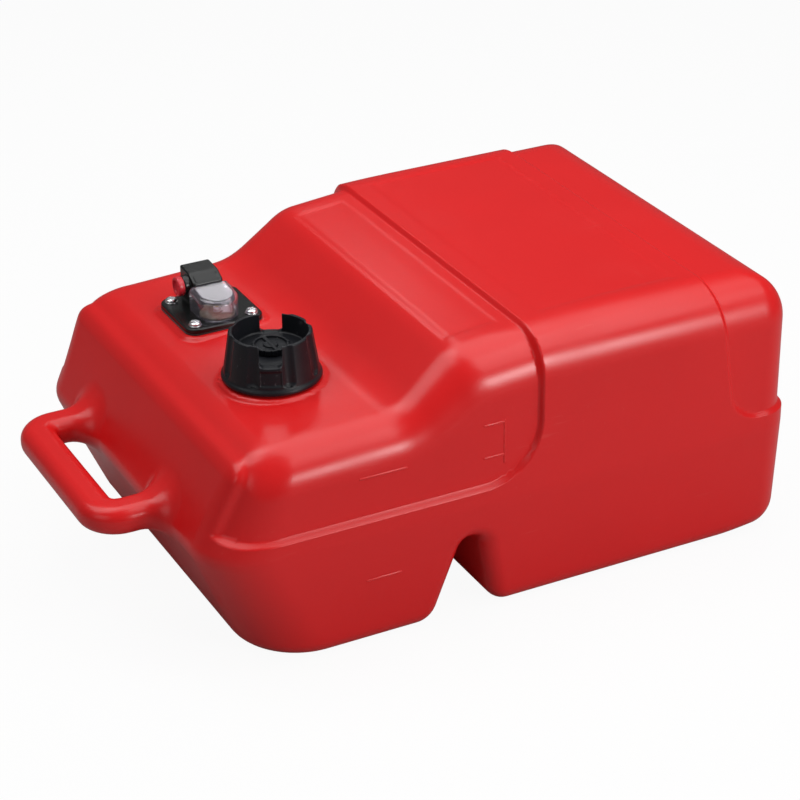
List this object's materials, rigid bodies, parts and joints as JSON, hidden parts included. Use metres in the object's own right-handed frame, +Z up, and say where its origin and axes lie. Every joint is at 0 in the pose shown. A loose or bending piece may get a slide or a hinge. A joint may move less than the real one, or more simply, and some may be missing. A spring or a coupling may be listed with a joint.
{
  "type": "outboard fuel tank",
  "caption": "Portable moulded fuel tank with a carrying handle, a vented screw cap, and a withdrawal fitting with float gauge and outlet plug.",
  "frame": {"origin": "on the ground under the middle of the overall bounding box", "axes": "+X from the carrying handle to the tall end, +Y across the tank towards the gauge, +Z up"},
  "size_m": [0.51, 0.33, 0.2075],
  "materials": {
    "tank_plastic": "satin red polyethylene, faint mould texture",
    "cap_plastic": "satin black polypropylene",
    "fitting_plastic": "semi-gloss black acetal",
    "rubber": "matt black nitrile",
    "brass": "turned brass",
    "steel": "bright stainless steel",
    "lens": "clear smoke-tinted moulded lens",
    "white_plastic": "natural white nylon",
    "plug_plastic": "red polyethylene plug"
  },
  "bodies": {
    "tank": {"tank_shell": "tank_plastic", "flange_inserts": "brass", "gauge_gasket": "rubber", "gauge_housing": "fitting_plastic", "screw_washers": "steel", "flange_screws": "steel", "gauge_lens": "lens", "dial_plate": "white_plastic", "gear_cage": "fitting_plastic", "pivot_pin": "brass", "pickup_tube": "white_plastic", "pickup_strainer": "brass", "check_seat": "brass", "check_spring": "steel", "port_bushing": "brass"},
    "gasket": {"cap_gasket": "rubber"},
    "cap": {"cap_grip": "cap_plastic", "cap_core": "cap_plastic", "splash_guard": "white_plastic"},
    "vent_disc": {"vent_seal": "rubber"},
    "vent": {"vent_knob": "cap_plastic"},
    "float_lever": {"arm_gear": "white_plastic", "float_arm": "steel", "float": "white_plastic", "float_clip": "steel"},
    "pointer_spindle": {"pointer": "white_plastic", "drive_shaft": "brass", "drive_pinion": "white_plastic"},
    "ball": {"check_ball": "steel"},
    "plug": {"port_plug": "plug_plastic", "plug_seal": "rubber"}
  },
  "joints": [
    {"name": "cap_lift", "type": "slide", "parent": "tank", "child": "gasket", "axis": [0, 0, 1], "range_m": [0, 0.012]},
    {"name": "cap_turn", "type": "hinge", "parent": "gasket", "child": "cap", "pos_m": [-0.1065, -0.052, 0.17], "axis": [0, 0, 1], "range_deg": [0, 720]},
    {"name": "vent_lift", "type": "slide", "parent": "cap", "child": "vent_disc", "axis": [0, 0, 1], "range_m": [0, 0.0015]},
    {"name": "vent_turn", "type": "hinge", "parent": "vent_disc", "child": "vent", "pos_m": [-0.1065, -0.052, 0.187], "axis": [0, 0, 1], "range_deg": [0, 360]},
    {"name": "float_swing", "type": "hinge", "parent": "tank", "child": "float_lever", "pos_m": [-0.1035, 0.0485, 0.088], "axis": [-1, 0, 0], "range_deg": [0, 72]},
    {"name": "pointer_turn", "type": "hinge", "parent": "tank", "child": "pointer_spindle", "pos_m": [-0.1035, 0.0485, 0.17], "axis": [0, 0, -1], "range_deg": [0, 180]},
    {"name": "ball_lift", "type": "slide", "parent": "tank", "child": "ball", "axis": [0, 0, 1], "range_m": [0, 0.002], "stiffness_N_per_m": 20, "springref_m": -0.004, "deforming": ["check_spring"]},
    {"name": "plug_pull", "type": "slide", "parent": "tank", "child": "plug", "axis": [-1, 0, 0], "range_m": [0, 0.02]}
  ],
  "couplings": [
    {"joint": "cap_lift", "follows": "cap_turn", "m_per_rad": 0.00095493},
    {"joint": "vent_lift", "follows": "vent_turn", "m_per_rad": 0.00023873},
    {"joint": "pointer_turn", "follows": "float_swing", "ratio": 2.5}
  ]
}
